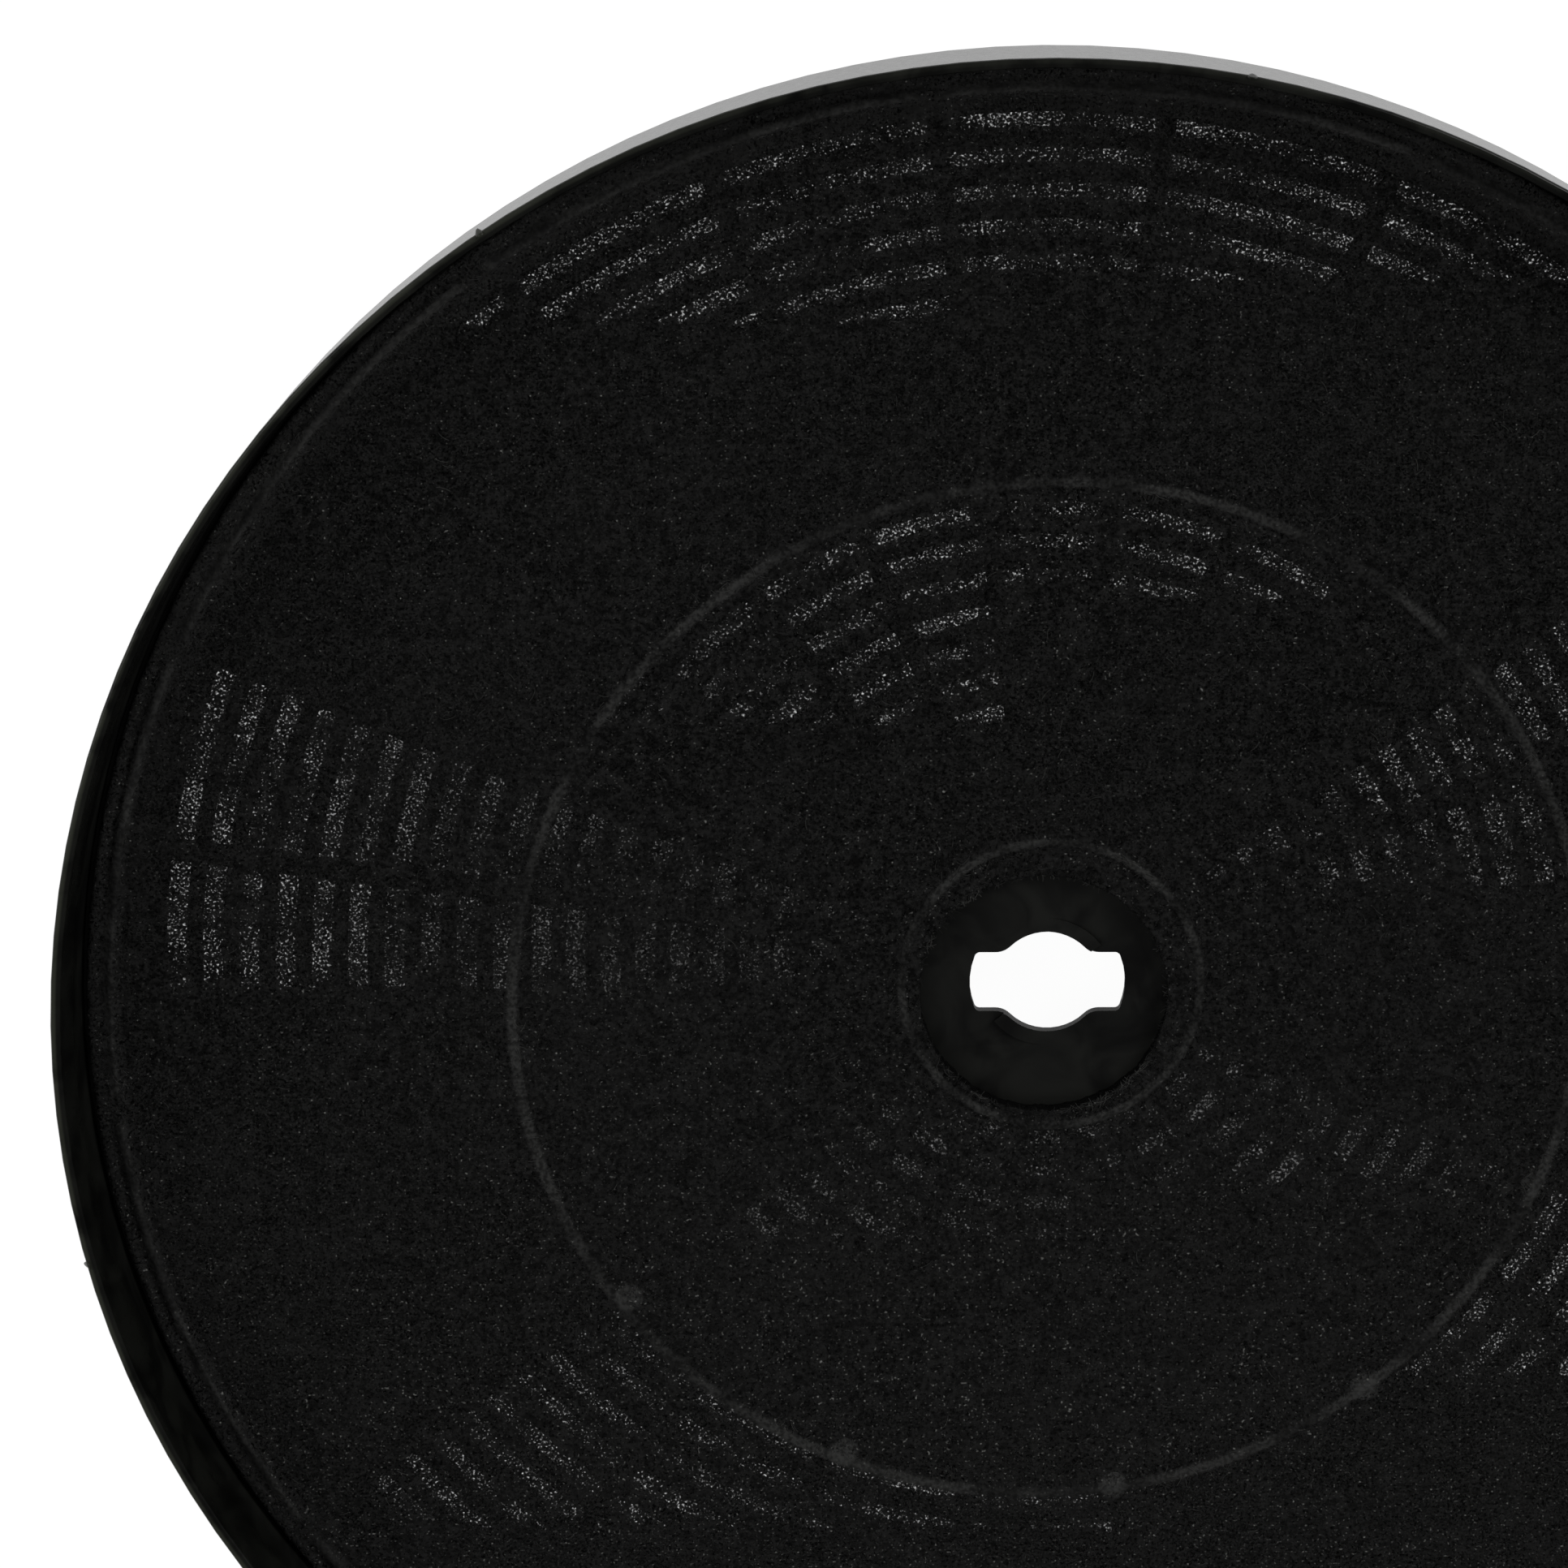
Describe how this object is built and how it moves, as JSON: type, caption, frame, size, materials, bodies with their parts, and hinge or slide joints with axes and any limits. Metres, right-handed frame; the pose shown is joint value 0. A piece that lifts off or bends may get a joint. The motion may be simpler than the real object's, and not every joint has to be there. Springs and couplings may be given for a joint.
{
  "type": "cooker hood carbon filter",
  "caption": "Round cooker hood cartridge: a black moulded tray with a slotted floor, walled chambers of carbon granules, a felt cover and a winged bayonet hole in the hub.",
  "frame": {"origin": "centre of the floor's underside, on the axis of the hub", "axes": "+Z out of the open face, away from the slotted floor; +X along the wings of the bayonet hole; the carbon has settled towards -Y"},
  "size_m": [0.2098, 0.2098, 0.0235],
  "materials": {
    "tray_plastic": "satin black moulded polypropylene",
    "felt": "black needled felt",
    "carbon": "dull black granules"
  },
  "bodies": {
    "root": {"housing_tray": "tray_plastic", "felt_cover": "felt", "carbon_bed_outer_1": "carbon", "carbon_bed_outer_2": "carbon", "carbon_bed_outer_3": "carbon", "carbon_bed_outer_4": "carbon", "carbon_bed_outer_5": "carbon", "carbon_bed_outer_6": "carbon", "carbon_bed_inner_1": "carbon", "carbon_bed_inner_2": "carbon", "carbon_bed_inner_3": "carbon", "carbon_bed_inner_4": "carbon", "carbon_bed_inner_5": "carbon", "carbon_bed_inner_6": "carbon"}
  },
  "joints": []
}
